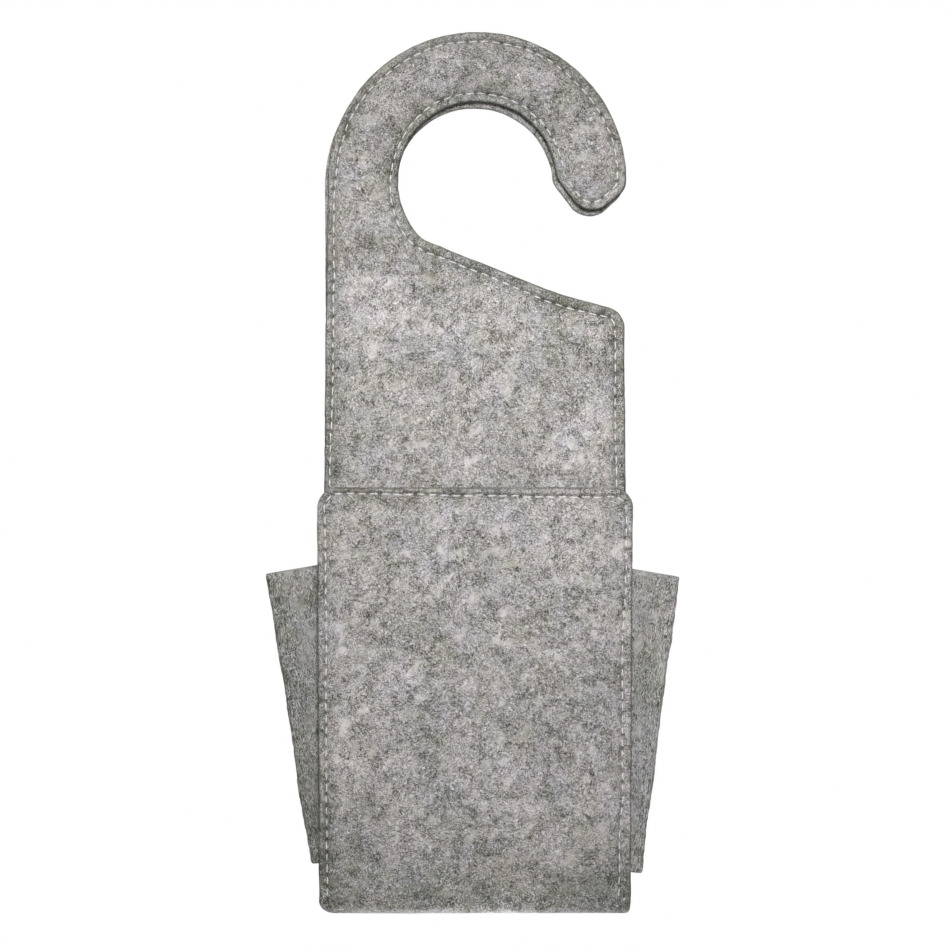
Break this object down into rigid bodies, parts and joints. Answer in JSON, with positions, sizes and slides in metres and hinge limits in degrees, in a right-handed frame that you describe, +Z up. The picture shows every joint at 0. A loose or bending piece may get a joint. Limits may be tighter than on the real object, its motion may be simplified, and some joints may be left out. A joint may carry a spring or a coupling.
{
  "type": "door knob organizer",
  "caption": "Grey felt organizer that hangs on a door knob by an open round hook, with a stitched flat back and a front pocket that opens on folded side gussets.",
  "frame": {"origin": "centre of the round knob opening, on the rear face that lies against the door", "axes": "+Z up along the back, +X to the right seen from the front, +Y out of the rear face towards the door"},
  "size_m": [0.166, 0.0291, 0.3514],
  "materials": {
    "felt": "matte heathered grey felt",
    "gusset_felt": "matte heathered grey felt",
    "board": "plain grey board",
    "thread": "off-white sewing thread"
  },
  "bodies": {
    "back": {"back_rear_ply": "felt", "back_board": "board", "back_front_ply": "felt", "back_needle_thread": "thread", "back_bobbin_thread": "thread", "outer_fold": "felt", "inner_fold": "felt"},
    "pocket_front": {"pocket_outer_ply": "felt", "pocket_board": "board", "pocket_inner_ply": "felt", "pocket_needle_thread": "thread", "pocket_bobbin_thread": "thread"},
    "left_rear_leaf": {"left_gusset_rear_leaf": "gusset_felt"},
    "left_front_leaf": {"left_gusset_front_leaf": "gusset_felt"},
    "right_rear_leaf": {"right_gusset_rear_leaf": "gusset_felt"},
    "right_front_leaf": {"right_gusset_front_leaf": "gusset_felt"}
  },
  "joints": [
    {"name": "pocket_open", "type": "hinge", "parent": "back", "child": "pocket_front", "pos_m": [0, -0.0078, -0.2918], "axis": [1, 0, 0], "range_deg": [-3.5, 8.5], "stiffness_Nm_per_rad": 0.3, "springref_deg": -1.15},
    {"name": "left_gusset_root", "type": "hinge", "parent": "back", "child": "left_rear_leaf", "pos_m": [-0.06195, -0.0078, -0.2918], "axis": [0.009, 0, 1], "range_deg": [-12, 29]},
    {"name": "left_gusset_crease", "type": "hinge", "parent": "left_rear_leaf", "child": "left_front_leaf", "pos_m": [-0.06195, -0.0078, -0.2918], "axis": [0.1511, 0.0431, -0.9876], "range_deg": [-24, 58]},
    {"name": "right_gusset_root", "type": "hinge", "parent": "back", "child": "right_rear_leaf", "pos_m": [0.06195, -0.0078, -0.2918], "axis": [0.009, 0, -1], "range_deg": [-12, 29]},
    {"name": "right_gusset_crease", "type": "hinge", "parent": "right_rear_leaf", "child": "right_front_leaf", "pos_m": [0.06195, -0.0078, -0.2918], "axis": [0.1511, -0.0431, 0.9876], "range_deg": [-24, 58]}
  ],
  "couplings": [
    {"joint": "left_gusset_root", "follows": "pocket_open", "ratio": 3.3},
    {"joint": "left_gusset_crease", "follows": "pocket_open", "ratio": 6.65},
    {"joint": "right_gusset_root", "follows": "pocket_open", "ratio": 3.3},
    {"joint": "right_gusset_crease", "follows": "pocket_open", "ratio": 6.65}
  ]
}
